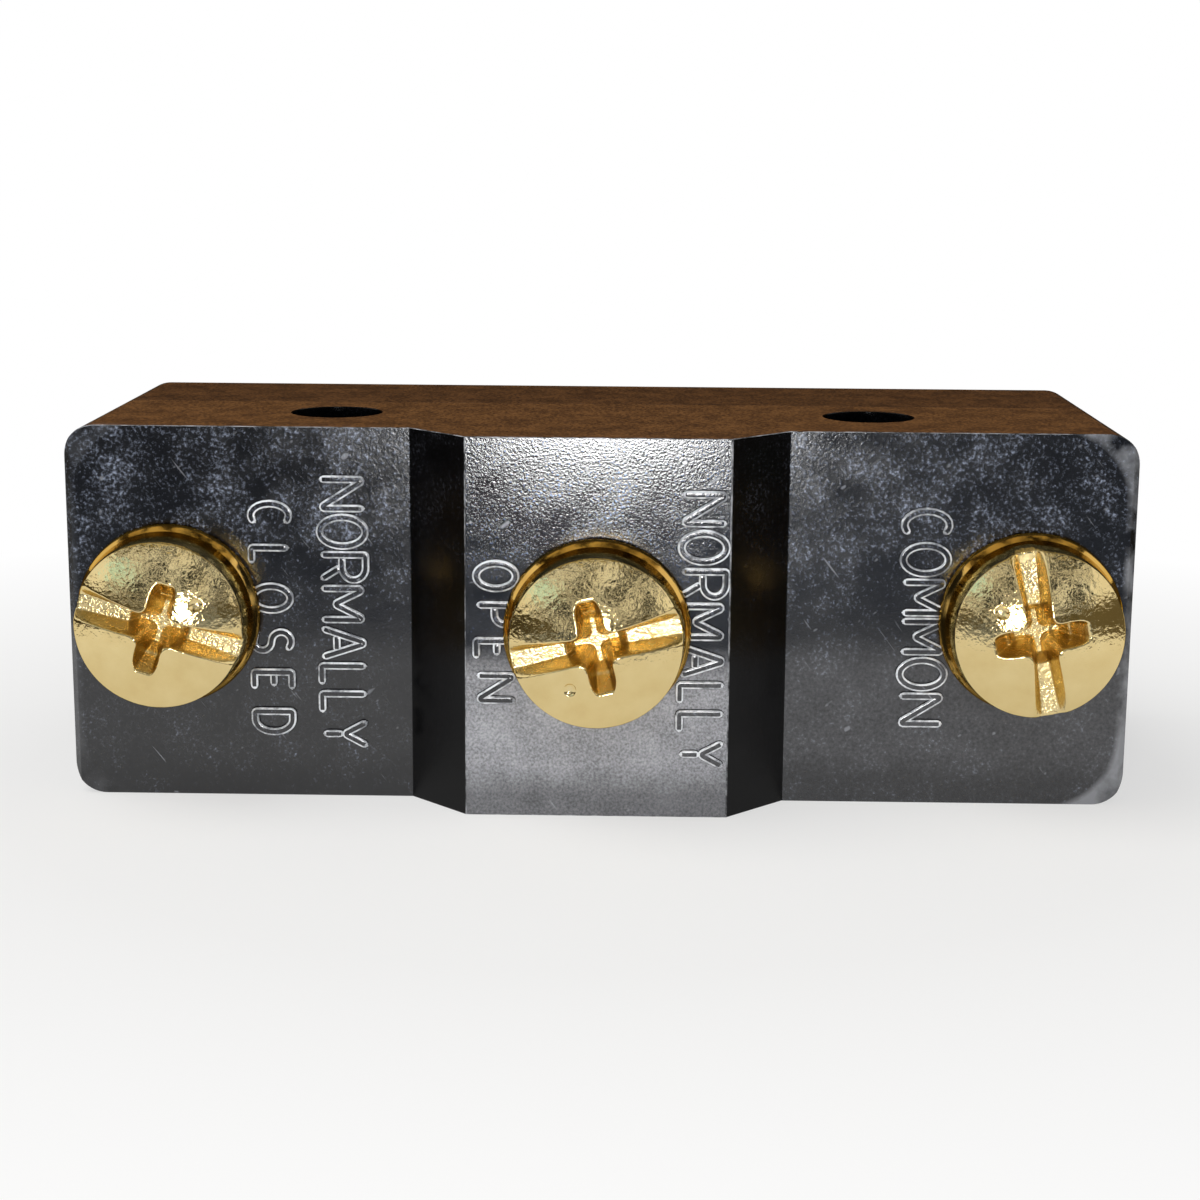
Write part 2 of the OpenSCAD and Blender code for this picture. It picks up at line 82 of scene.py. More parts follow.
# Mouldings, in millimetres and degrees, and how far flat sides and slopes face along their axis
MOULD_MERGE = 0.001
FLAT_ANGLE = 1
MOULD_EASE = 0.12
EASE_SEGMENTS = 3
EASE_ANGLE = 28
SIDE_BAND = 0.05
FRONT_BAND = 0.2
SIDE_FACING = 0.9
SLOPE_FACING = (0.2, 0.9)

# Binding screws, in millimetres, with the turns of their slots in degrees
SLOT_TURN = {"closed": 163.5, "open": 12.8, "common": -79.0}
SEAT_GAP = 0.04
HEAD_D = 7.65
HEAD_BASE_D = 8.0
HEAD_SIDE = 1.85
UNDER_EASE = 0.06
DOME_RADIUS = 7.1
RIM_EASE = 0.12
RIM_SLOPE = 5.0
SLOT_DEPTH = 1.45
SLOT_LEAST_DEPTH = 0.2
SLOT_FLOOR = 0.56
SLOT_FLOOR_END = 0.84
SLOT_MOUTH = 1.1
SLOT_MOUTH_END = 1.5
SLOT_FLARE_START = 1.0
SLOT_GRIT = 0.025
GRIT_SEED = 5
CROSS_SPAN = 4.2
CROSS_FLOOR = 2.0
CROSS_DEPTH = 2.2
WING_WIDTH = 1.14
WING_ROUND = 0.3
WING_SLOPE = 5.0
WING_TIP_LEAN = 0.4
CORNER_BLEND = 2.2
FLOOR_BLEND = 0.12
EDGE_EASE = 0.2
DIMPLE_PLACE = (-1.5, -1.6)
DIMPLE_RADIUS = 0.3
DIMPLE_DEPTH = 0.14
DIMPLE_POWER = 0.7
HEAD_GRID = 200

# Threads, in millimetres, with the section's depth and half widths as shares of the pitch
THREAD_D = 4.0
THREAD_PITCH = 0.7
THREAD_DEPTH = 0.6
THREAD_HALF_FOOT = 0.46
THREAD_HALF_CREST = 0.07
THREAD_ROOT = 0.15  # share of the depth that is sunk in the core
THREAD_STEPS = 48  # steps of the helix in a turn
SHANK_SIDES = 64

# Cup washers, in millimetres
WASHER_D = 8.45
WASHER_HEIGHT = 0.75
WASHER_SHEET = 0.45
WASHER_SHOULDER = 0.4
WASHER_RIM = 0.3
WASHER_HOLE_D = 4.3
WASHER_EASE = 0.14

# Raised strokes of the letters, in millimetres, and how far their tops and shoulders face outwards
STROKE_FOOT = 0.62
STROKE_TOP = 0.28
STROKE_RISE = 0.2
STROKE_ROOT = 0.06
STROKE_CORNER = 0.07
STROKE_CORNER_STEPS = 4
STROKE_CREST = 0.13
STROKE_CREST_STEPS = 5
STROKE_STEP = 0.05
STROKE_MERGE = 0.002
STROKE_END = 1.02  # a little over 1, so that a stroke ends in a small flat and not in a point
SAME_POINT = 1e-6
STROKE_TOP_FACING = 0.97
STROKE_SHOULDER_FACING = 0.6

# Words on the terminal faces: letters, face, cap height, foot of the letters in X, ends in Z
WORDS = (
    ("normally_beside_closed", "NORMALLY", "closed", 2.1, -12.84, 15.05, 2.45),
    ("closed_word", "CLOSED", "closed", 1.75, -16.0, 13.9, 3.1),
    ("normally_beside_open", "NORMALLY", "open", 2.02, 3.74, 14.95, 2.45),
    ("open_word", "OPEN", "open", 1.78, -5.45, 11.75, 5.45),
    ("common_word", "COMMON", "common", 2.05, 13.95, 13.85, 3.85),
)


# Small helpers


def linear(hex_colour):
    """An sRGB hex colour as linear RGBA."""
    channels = [int(hex_colour[i:i + 2], 16) / 255 for i in (1, 3, 5)]
    return tuple(
        c / 12.92 if c <= 0.04045 else ((c + 0.055) / 1.055) ** 2.4 for c in channels
    ) + (1.0,)


def feed(tree, node, inputs):
    """Links or sets a node's inputs."""
    for key, value in inputs.items():
        if isinstance(value, bpy.types.NodeSocket):
            tree.links.new(value, node.inputs[key])
        else:
            node.inputs[key].default_value = value


def add(tree, kind, inputs=None, **settings):
    """Adds a node, with its settings, and links or sets its inputs."""
    node = tree.nodes.new(kind)
    for name, value in settings.items():
        setattr(node, name, value)
    feed(tree, node, inputs or {})
    return node


def per_mm(millimetres):
    """A texture scale whose features are about that many millimetres across."""
    return 1.0 / (millimetres * MM)


def new_object(name, mesh):
    """A new object in the scene."""
    piece = bpy.data.objects.new(name, mesh)
    bpy.context.scene.collection.objects.link(piece)
    return piece


def quad(name, corners, material):
    """A new object with one four-sided face."""
    mesh = bpy.data.meshes.new(name)
    mesh.from_pydata(corners, [], [(0, 1, 2, 3)])
    mesh.materials.append(material)
    return new_object(name, mesh)


def plain_mesh(piece, materials=()):
    """Turns a piece and its modifiers into a plain mesh, with new materials if any are given."""
    graph = bpy.context.evaluated_depsgraph_get()
    mesh = bpy.data.meshes.new_from_object(piece.evaluated_get(graph), depsgraph=graph)
    mesh.name = piece.name
    piece.modifiers.clear()
    piece.data = mesh
    if materials:
        mesh.materials.clear()
    for material in materials:
        mesh.materials.append(material)


def mesh_from(name, points, faces, material):
    """A smooth mesh from points in millimetres, its doubles merged and its normals outward."""
    shell = bmesh.new()
    corners = [shell.verts.new(Vector(point) * MM) for point in points]
    for face in faces:
        shell.faces.new([corners[i] for i in face])
    bmesh.ops.remove_doubles(shell, verts=shell.verts, dist=MESH_MERGE * MM)
    bmesh.ops.recalc_face_normals(shell, faces=shell.faces)
    mesh = bpy.data.meshes.new(name)
    shell.to_mesh(mesh)
    shell.free()
    mesh.shade_smooth()
    mesh.materials.append(material)
    return mesh


def rounded(outline, radius, steps=4):
    """A closed outline with each corner replaced by an arc of about that radius."""
    points = []
    for i, corner in enumerate(outline):
        corner = Vector(corner)
        before = Vector(outline[i - 1]) - corner
        after = Vector(outline[(i + 1) % len(outline)]) - corner
        reach = min(radius, before.length * ROUND_SHARE, after.length * ROUND_SHARE)
        start = corner + before.normalized() * reach
        stop = corner + after.normalized() * reach
        for step in range(steps + 1):
            t = step / steps
            points.append((1 - t) ** 2 * start + 2 * t * (1 - t) * corner + t ** 2 * stop)
    return points


def turned(name, outline, material, segments=96):
    """A closed outline of radius and height, in millimetres, turned about Z."""
    points, faces = [], []
    count = len(outline)
    for turn in range(segments):
        angle = 2 * math.pi * turn / segments
        for radius, height in outline:
            points.append((radius * math.cos(angle), radius * math.sin(angle), height))
    for turn in range(segments):
        here, there = turn * count, (turn + 1) % segments * count
        for i in range(count):
            j = (i + 1) % count
            faces.append((here + i, there + i, there + j, here + j))
    return mesh_from(name, points, faces, material)


def out_of_face(place, turn=0.0):
    """The matrix that stands a piece on a terminal face, Z out of the face and X along the case."""
    upright = Matrix.Rotation(math.radians(90), 4, "X")
    return Matrix.Translation(place) @ upright @ Matrix.Rotation(math.radians(turn), 4, "Z")


# Materials

MIX_A, MIX_B, MIXED = 6, 7, 2  # the sockets of a Mix node that mixes colours

# Phenolic. Its grains of ground filler are finer than 0.1 mm, and are drawn coarser so that they
# show in the render. They gather in clouds of a millimetre or two.
PHENOLIC_IOR = 1.6
FILLER_MM = 0.15
FINE_FILLER_MM = 0.12
FILLER_DEPTH = 0.133  # share of the filler's width
CLOUD_MM = 1.6
CLOUD_SHARE = 0.45
SPECKS_FROM, SPECKS_TO = 0.87, 1.25
SPECK_POWER = 3.0
GLOSSIER, DULLER = 0.03, 0.06  # how far the roughness strays from its middle
NOISE_LOW, NOISE_HIGH = 0.3, 0.7  # nearly all of a noise lies between these

# Heights between which the faces change: rougher above, with more pale specks there as painted
# glints; a grey painted sheen below, partly worn skin; painted shade at the foot
GLINTS_AND_GRIT_Z = (6.0 * MM, 13.0 * MM)
GLINT_SPECKS = 0.13
ROUGH_BUMP = (0.15, 0.48)
SHEEN_Z = (8.0 * MM, 6.4 * MM)
RUBBED_SHEEN = "#abacb2"
FOOT_SHADE_Z = (1.0 * MM, 2.4 * MM)
FOOT_SHADE_SHARE = 0.42

# Scuffs of about 0.1 by 2 mm and knocks of about 0.3 by 0.5 mm lie across the faces. They are the
# peaks of a stretched noise: its width in millimetres, stretch, slant in degrees and lowest peak.
MARKS = ((0.2, 12.0, -38, 0.77), (0.4, 1.7, 55, 0.75))
MARK_EDGE = 0.06
MARK = "#8d9097"

# Pale band and corners at the ends of the case, partly wear and partly a painted highlight of the
# rounded corners, in front of a depth in Y, and faint at the closed end
END_PALE_BAND = 0.6 * MM
END_PALE_RADIUS = 3.2 * MM
END_PALE_EDGE = 0.3 * MM
END_PALE_Y = (-4.6 * MM, -5.3 * MM)
CLOSED_END_PALE = 0.12
END_WEAR_AND_HIGHLIGHT = "#8b8d92"

# Worn patches of phenolic, and the level of the noise where they start; on the letters' shoulders the
# patches also stand for painted highlights
WEAR_MM = 0.9
WEAR_FROM, WEAR_TO = 0.62, 0.82

# Stains and dents on metal, and the shares of its roughness that the stains range between
STAIN_MM = 1.2
STAIN_GLOSS = (0.7, 1.4)
DENT_STRENGTH = 0.4


def new_material(name, shaded=True):
    """A new material, its node tree and its Object coordinates; unshaded, it has no shader yet."""
    material = bpy.data.materials.new(name)
    material.use_nodes = True
    tree = material.node_tree
    if not shaded:
        tree.nodes.clear()
    return material, tree, add(tree, "ShaderNodeTexCoord").outputs["Object"]


def phenolic(name, dark, light, roughness, specular, specks, sheen_and_rub=(0.0, 0.0), end_pale=0.0,
             marks=0.0, filler_mm=FILLER_MM):
    """Moulded phenolic: a hard resin with ground filler, so a dark skin full of pale specks, which
    are partly painted glints.

    Towards the side that the switch lies on it takes a grey painted sheen, for the floor's reflection
    and partly worn skin, by one share on the left and one on the right, with painted shade at the
    foot. At the ends of the case it is pale round the corners, partly wear and partly a painted
    highlight.
    """
    material, tree, place = new_material(name)
    spot = add(tree, "ShaderNodeSeparateXYZ", {0: place}).outputs

    # Pale specks of filler, which also stand for glints of light: painted highlights, denser and
    # rougher in the upper half
    upper = add(tree, "ShaderNodeMapRange", {
        "Value": spot["Z"], "From Min": GLINTS_AND_GRIT_Z[0], "From Max": GLINTS_AND_GRIT_Z[1],
    }).outputs[0]
    cloud = add(tree, "ShaderNodeTexNoise", {
        "Vector": place, "Scale": per_mm(CLOUD_MM), "Detail": 4.0,
    }).outputs["Fac"]
    grain = add(tree, "ShaderNodeTexNoise", {
        "Vector": place, "Scale": per_mm(filler_mm), "Detail": 2.0, "Roughness": 0.65,
    }).outputs["Fac"]
    patchy = add(tree, "ShaderNodeMath", {
        0: cloud, 1: CLOUD_SHARE, 2: grain,
    }, operation="MULTIPLY_ADD").outputs[0]
    denser = add(tree, "ShaderNodeMath", {
        0: upper, 1: GLINT_SPECKS, 2: patchy,
    }, operation="MULTIPLY_ADD")
    level = add(tree, "ShaderNodeMapRange", {
        "Value": denser.outputs[0],
        "From Min": SPECKS_FROM - specks, "From Max": SPECKS_TO - specks,
    })
    speck = add(tree, "ShaderNodeMath", {0: level.outputs[0], 1: SPECK_POWER}, operation="POWER")
    skin = add(tree, "ShaderNodeMix", {
        "Factor": speck.outputs[0], MIX_A: linear(dark), MIX_B: linear(light),
    }, data_type="RGBA")

    # Painted sheen over the lower half, for the floor's reflection and partly worn skin, with painted
    # shade at the foot
    sheen_by_side = add(tree, "ShaderNodeMapRange", {
        "Value": spot["X"], "From Max": MM, "To Min": sheen_and_rub[0], "To Max": sheen_and_rub[1],
    })
    satin = add(tree, "ShaderNodeMapRange", {
        "Value": spot["Z"], "From Min": SHEEN_Z[0], "From Max": SHEEN_Z[1],
        "To Max": sheen_by_side.outputs[0],
    })
    foot = add(tree, "ShaderNodeMapRange", {
        "Value": spot["Z"], "From Min": FOOT_SHADE_Z[0], "From Max": FOOT_SHADE_Z[1], "To Min": FOOT_SHADE_SHARE,
    })
    uneven = add(tree, "ShaderNodeMapRange", {
        "Value": patchy, "From Min": 0.5, "From Max": 0.95, "To Min": 0.4, "To Max": 1.25,
    })
    sheen_share = satin.outputs[0]
    for share in (foot, uneven):
        sheen_share = add(tree, "ShaderNodeMath", {
            0: sheen_share, 1: share.outputs[0],
        }, operation="MULTIPLY").outputs[0]

    # Scuffs and knocks
    hurt = 0.0
    for width, stretch, slant, lowest in MARKS:
        laid = add(tree, "ShaderNodeMapping", {
            "Vector": place, "Rotation": (0.0, math.radians(slant), 0.0),
            "Scale": (1.0, 1.0, stretch),
        }, vector_type="TEXTURE")
        line = add(tree, "ShaderNodeTexNoise", {
            "Vector": laid.outputs[0], "Scale": per_mm(width), "Detail": 1.0,
        })
        thin = add(tree, "ShaderNodeMapRange", {
            "Value": line.outputs["Fac"], "From Min": lowest, "From Max": lowest + MARK_EDGE,
            "To Max": marks,
        })
        hurt = add(tree, "ShaderNodeMath", {
            0: thin.outputs[0], 1: hurt,
        }, operation="MAXIMUM").outputs[0]

    # The pale corners, partly wear and partly painted highlight, lie outside a rectangle with widely
    # rounded corners, on the terminal side
    centred = add(tree, "ShaderNodeVectorMath", {
        0: place, 1: (0.0, 0.0, body_height / 2),
    }, operation="SUBTRACT")
    folded = add(tree, "ShaderNodeVectorMath", {0: centred.outputs[0]}, operation="ABSOLUTE")
    inner = (case_high.x - END_PALE_BAND - END_PALE_RADIUS, 1.0, body_height / 2 - END_PALE_RADIUS)
    beyond = add(tree, "ShaderNodeVectorMath", {
        0: folded.outputs[0], 1: inner,
    }, operation="SUBTRACT")
    kept = add(tree, "ShaderNodeVectorMath", {
        0: beyond.outputs[0], 1: (0.0, 0.0, 0.0),
    }, operation="MAXIMUM")
    reach = add(tree, "ShaderNodeVectorMath", {0: kept.outputs[0]}, operation="LENGTH")
    corner = add(tree, "ShaderNodeMapRange", {
        "Value": reach.outputs["Value"],
        "From Min": END_PALE_RADIUS, "From Max": END_PALE_RADIUS + END_PALE_EDGE,
    })
    at_end = add(tree, "ShaderNodeMapRange", {
        "Value": spot["X"], "From Max": MM, "To Min": CLOSED_END_PALE, "To Max": end_pale,
    })
    ragged = add(tree, "ShaderNodeMapRange", {"Value": cloud, "From Min": 0.35, "From Max": 0.6})
    in_front = add(tree, "ShaderNodeMapRange", {
        "Value": spot["Y"], "From Min": END_PALE_Y[0], "From Max": END_PALE_Y[1],
    })
    pale = corner.outputs[0]
    for share in (at_end, ragged, in_front):
        pale = add(tree, "ShaderNodeMath", {
            0: pale, 1: share.outputs[0],
        }, operation="MULTIPLY").outputs[0]

    colour = skin.outputs[MIXED]
    for share, over in ((sheen_share, RUBBED_SHEEN), (hurt, MARK), (pale, END_WEAR_AND_HIGHLIGHT)):
        colour = add(tree, "ShaderNodeMix", {
            "Factor": share, MIX_A: colour, MIX_B: linear(over),
        }, data_type="RGBA").outputs[MIXED]
    gloss = add(tree, "ShaderNodeMapRange", {
        "Value": cloud, "From Min": NOISE_LOW, "From Max": NOISE_HIGH,
        "To Min": roughness - GLOSSIER, "To Max": roughness + DULLER,
    })
    grit = add(tree, "ShaderNodeMapRange", {
        "Value": upper, "To Min": ROUGH_BUMP[0], "To Max": ROUGH_BUMP[1],
    })
    bump = add(tree, "ShaderNodeBump", {
        "Strength": grit.outputs[0], "Distance": filler_mm * FILLER_DEPTH * MM, "Height": grain,
    })
    feed(tree, tree.nodes["Principled BSDF"], {
        "Base Color": colour, "Roughness": gloss.outputs[0], "Normal": bump.outputs[0],
        "IOR": PHENOLIC_IOR, "Specular IOR Level": specular,
    })
    return material


def worn_phenolic(name, dark, pale, wear, roughness):
    """Phenolic worn at an edge, where the skin is gone and the pale filler shows in patches; on the
    letters the patches are partly painted highlights.
    """
    material, tree, place = new_material(name)
    sheen_and_rub = add(tree, "ShaderNodeTexNoise", {
        "Vector": place, "Scale": per_mm(WEAR_MM), "Detail": 5.0, "Roughness": 0.7,
    })
    share = add(tree, "ShaderNodeMapRange", {
        "Value": sheen_and_rub.outputs["Fac"],
        "From Min": WEAR_FROM - wear, "From Max": WEAR_TO - wear,
    })
    colour = add(tree, "ShaderNodeMix", {
        "Factor": share.outputs[0], MIX_A: linear(dark), MIX_B: linear(pale),
    }, data_type="RGBA")
    feed(tree, tree.nodes["Principled BSDF"], {
        "Base Color": colour.outputs[MIXED], "Roughness": roughness, "IOR": PHENOLIC_IOR,
    })
    return material


def metal(name, light, dark, roughness, dent_mm, dent_depth):
    """Bare metal with a slightly uneven skin, which breaks up what it mirrors.

    Real marks of rolling and striking are mostly finer than 0.1 mm, so they are drawn coarser.
    """
    material, tree, place = new_material(name)
    stain = add(tree, "ShaderNodeTexNoise", {
        "Vector": place, "Scale": per_mm(STAIN_MM), "Detail": 5.0,
    }).outputs["Fac"]
    dents = add(tree, "ShaderNodeTexNoise", {
        "Vector": place, "Scale": per_mm(dent_mm), "Detail": 3.0,
    })
    colour = add(tree, "ShaderNodeMix", {
        "Factor": stain, MIX_A: linear(light), MIX_B: linear(dark),
    }, data_type="RGBA")
    gloss = add(tree, "ShaderNodeMapRange", {
        "Value": stain, "From Min": NOISE_LOW, "From Max": NOISE_HIGH,
        "To Min": roughness * STAIN_GLOSS[0], "To Max": roughness * STAIN_GLOSS[1],
    })
    bump = add(tree, "ShaderNodeBump", {
        "Strength": DENT_STRENGTH, "Distance": dent_depth * MM, "Height": dents.outputs["Fac"],
    })
    feed(tree, tree.nodes["Principled BSDF"], {
        "Base Color": colour.outputs[MIXED], "Roughness": gloss.outputs[0],
        "Normal": bump.outputs[0], "Metallic": 1.0, "Specular Tint": linear(light),
    })
    return material


# Phenolic moulded against a polished tool: a near black, glossy skin with bluish specks of filler,
# partly painted glints
face_phenolic = phenolic(
    "black_phenolic_gloss_moulded", dark="#07080c", light="#8b94a8",
    roughness=0.17, specular=0.5, specks=0.12, sheen_and_rub=(0.04, 0.13), end_pale=0.9, marks=0.6,
)
# The same skin where it stands proud: shinier, and grey in its lower half, a painted sheen for the
# floor's reflection and partly skin worn most here
middle_phenolic = phenolic(
    "black_phenolic_middle_face", dark="#06080e", light="#6278a4",
    roughness=0.12, specular=0.6, specks=0.06, sheen_and_rub=(0.8, 0.8), marks=0.8, filler_mm=FINE_FILLER_MM,
)
# The same skin on slopes, in holes and on the letters' sides: an even black with little shine, a
# darker copy that paints their shade
shaded_phenolic = phenolic(
    "black_phenolic_slope_moulded", dark="#040405", light="#222328",
    roughness=0.2, specular=0.1, specks=0.12,
)
# Moulded flat sides whose resin skin is worn off: a matt brown, thick with filler
side_phenolic = phenolic(
    "brown_phenolic_moulded_flat", dark="#482d16", light="#815830",
    roughness=0.62, specular=0.05, specks=0.3,
)
# Cover, from a mould of its own: black, and a little duller than the terminal faces
cover_phenolic = phenolic(
    "black_phenolic_cover_moulded", dark="#0a0a0d", light="#5a5e69",
    roughness=0.26, specular=0.45, specks=0.15, sheen_and_rub=(0.03, 0.03), marks=0.5,
)
# The cover's flat sides, worn as the case's are: a matt brown, darker than the case's to paint the
# shade on the far part of the top
cover_side_phenolic = phenolic(
    "brown_phenolic_cover_flat", dark="#3a2412", light="#6c4827",
    roughness=0.62, specular=0.05, specks=0.3,
)
# Moulded edges rubbed by handling: dark, with pale grey patches where the filler is bare
worn_edge = worn_phenolic(
    "black_phenolic_rubbed_edge", dark="#15161a", pale="#9b9da2", wear=0.2, roughness=0.42,
)
# Moulded letters pale along their shoulders, partly wear and partly painted highlights, shiny, which
# outlines each stroke
letter_wear_and_highlight = worn_phenolic(
    "black_phenolic_rubbed_letters", dark="#7c7f85", pale="#eceff4", wear=0.23, roughness=0.12,
)
# Brass headed cold from wire and polished by tumbling: a pale mirror with faint dents
screw_brass = metal(
    "brass_cold_headed", light="#ead69f", dark="#d8bd80",
    roughness=0.08, dent_mm=0.25, dent_depth=0.075,
)
# Brass under the punch that sank the slot and the cross: satin, and rougher than the dome; its colour
# paler than the dome's, painted light against the deeper colour that its walls take from mirroring
# each other
recess_brass = metal(
    "brass_punched_recess", light="#e9d8a8", dark="#d8bd80",
    roughness=0.22, dent_mm=0.15, dent_depth=0.1,
)
# Brass sheet, rolled and pressed into a cup: smooth, and a deeper yellow
washer_brass = metal(
    "brass_pressed_sheet", light="#e2bb68", dark="#c4964a",
    roughness=0.1, dent_mm=0.4, dent_depth=0.02,
)
# Brass stamped from strip or turned from bar: a satin yellow
terminal_brass = metal(
    "brass_stamped_strip", light="#d2ad62", dark="#b58d45",
    roughness=0.3, dent_mm=0.4, dent_depth=0.01,
)
# Brass rivets, headed and left to dull: a brownish yellow with a broad, weak shine
rivet_brass = metal(
    "brass_dull_rivet", light="#a88f55", dark="#85703f",
    roughness=0.38, dent_mm=0.4, dent_depth=0.015,
)
# Stainless steel ground to size: a grey satin
pin_steel = metal(
    "stainless_steel_ground_pin", light="#c2c3c6", dark="#a6a7ab",
    roughness=0.22, dent_mm=0.3, dent_depth=0.004,
)
# Beryllium copper rolled thin: a reddish satin
blade_copper = metal(
    "beryllium_copper_rolled_sheet", light="#c98f58", dark="#b57b45",
    roughness=0.25, dent_mm=0.4, dent_depth=0.004,
)
# Fine silver headed from wire: a white satin
contact_silver = metal(
    "fine_silver_contact", light="#e3e1db", dark="#c9c6bf",
    roughness=0.2, dent_mm=0.4, dent_depth=0.005,
)


# Case and cover


def eased_moulding(node, name, face_material, side_material):
    """A merged copy of a moulded node, with its sharp edges eased as a mould leaves them."""
    shell = bmesh.new()
    shell.from_mesh(frame["nodes"][node].data)
    bmesh.ops.remove_doubles(shell, verts=shell.verts, dist=MOULD_MERGE * MM)
    bmesh.ops.dissolve_limit(
        shell, angle_limit=math.radians(FLAT_ANGLE), verts=shell.verts, edges=shell.edges,
    )
    mesh = bpy.data.meshes.new(name)
    shell.to_mesh(mesh)
    shell.free()
    if "custom_normal" in mesh.attributes:
        mesh.attributes.remove(mesh.attributes["custom_normal"])
    mesh.shade_smooth()
    piece = new_object(name, mesh)
    finishes = [face_material, side_material, worn_edge, shaded_phenolic, middle_phenolic]
    for material in finishes:
        mesh.materials.append(material)
    bevel = piece.modifiers.new("eased_edges", "BEVEL")
    bevel.width = MOULD_EASE * MM
    bevel.segments = EASE_SEGMENTS
    bevel.limit_method = "ANGLE"
    bevel.angle_limit = math.radians(EASE_ANGLE)
    bevel.harden_normals = True
    bevel.material = finishes.index(worn_edge)
    plain_mesh(piece)
    for face in piece.data.polygons:
        place, out = face.center, face.normal
        eased = finishes[face.material_index] == worn_edge
        flat_side = min(place.z, body_height - place.z) < SIDE_BAND * MM
        in_hole = math.hypot(abs(place.x) - hole_x, place.y) < hole_reach
        in_front = place.y < middle_face_y + FRONT_BAND * MM
        on_top = place.z > body_height - FRONT_BAND * MM and place.y < 0
        on_step = place.y < terminal_place["closed"].y
        finish = face_material
        # Holes and the slopes of the step take the darker copy of the skin: painted shade
        if in_hole:
            finish = shaded_phenolic
        elif flat_side and abs(out.z) > SIDE_FACING:
            finish = side_material
        elif in_front and not eased:
            finish = middle_phenolic
        elif eased and node == "case" and (in_front or on_top):
            finish = worn_edge
        elif on_step and SLOPE_FACING[0] < abs(out.x) < SLOPE_FACING[1]:
            finish = shaded_phenolic
        face.material_index = finishes.index(finish)
    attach(piece, "housing")
    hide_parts(node)
    return piece


case = eased_moulding("case", "moulded_case", face_phenolic, side_phenolic)
cover = eased_moulding("cover", "moulded_cover", cover_phenolic, cover_side_phenolic)


# Raised words


def arc(x, y, rx, ry, start, stop, steps=14):
    """Points along part of an ellipse, angles in degrees."""
    turns = [math.radians(start + (stop - start) * i / steps) for i in range(steps + 1)]
    return [(x + rx * math.cos(t), y + ry * math.sin(t)) for t in turns]


# Each letter is its width and its strokes, in cap heights
LETTERS = {
    "A": (0.66, [[(0, 0), (0.33, 1), (0.66, 0)], [(0.12, 0.34), (0.54, 0.34)]]),
    "C": (0.58, [arc(0.31, 0.5, 0.31, 0.5, 48, 312)]),
    "D": (0.56, [[(0, 0), (0, 1), (0.22, 1)] + arc(0.22, 0.5, 0.34, 0.5, 90, -90) + [(0, 0)]]),
    "E": (0.48, [[(0.48, 1), (0, 1), (0, 0), (0.48, 0)], [(0, 0.52), (0.4, 0.52)]]),
    "L": (0.44, [[(0, 1), (0, 0), (0.44, 0)]]),
    "M": (0.7, [[(0, 0), (0, 1), (0.35, 0.3), (0.7, 1), (0.7, 0)]]),
    "N": (0.64, [[(0, 0), (0, 1), (0.64, 0), (0.64, 1)]]),
    "O": (0.64, [arc(0.32, 0.5, 0.32, 0.5, 90, 450, 28)]),
    "P": (0.5, [
        [(0, 0), (0, 1), (0.24, 1)] + arc(0.24, 0.73, 0.26, 0.27, 90, -90) + [(0, 0.46)],
    ]),
    "R": (0.56, [
        [(0, 0), (0, 1), (0.28, 1)] + arc(0.28, 0.74, 0.28, 0.26, 90, -90) + [(0, 0.48)],
        [(0.26, 0.48), (0.56, 0)],
    ]),
    "S": (0.5, [
        arc(0.25, 0.74, 0.25, 0.26, 25, 270, 12) + arc(0.25, 0.24, 0.25, 0.24, 90, -155, 12)[1:],
    ]),
    "Y": (0.56, [[(0, 1), (0.28, 0.48), (0.56, 1)], [(0.28, 0.48), (0.28, 0)]]),
}


def new_tree(name, *numbers):
    """Geometry Nodes that take a geometry, some numbers and a material, and give a geometry."""
    tree = bpy.data.node_groups.new(name, "GeometryNodeTree")
    sockets = [("Geometry", "Geometry")] + [(number, "Float") for number in numbers]
    for socket, kind in sockets + [("Material", "Material")]:
        tree.interface.new_socket(socket, in_out="INPUT", socket_type=f"NodeSocket{kind}")
    tree.interface.new_socket("Geometry", in_out="OUTPUT", socket_type="NodeSocketGeometry")
    return tree, add(tree, "NodeGroupInput").outputs


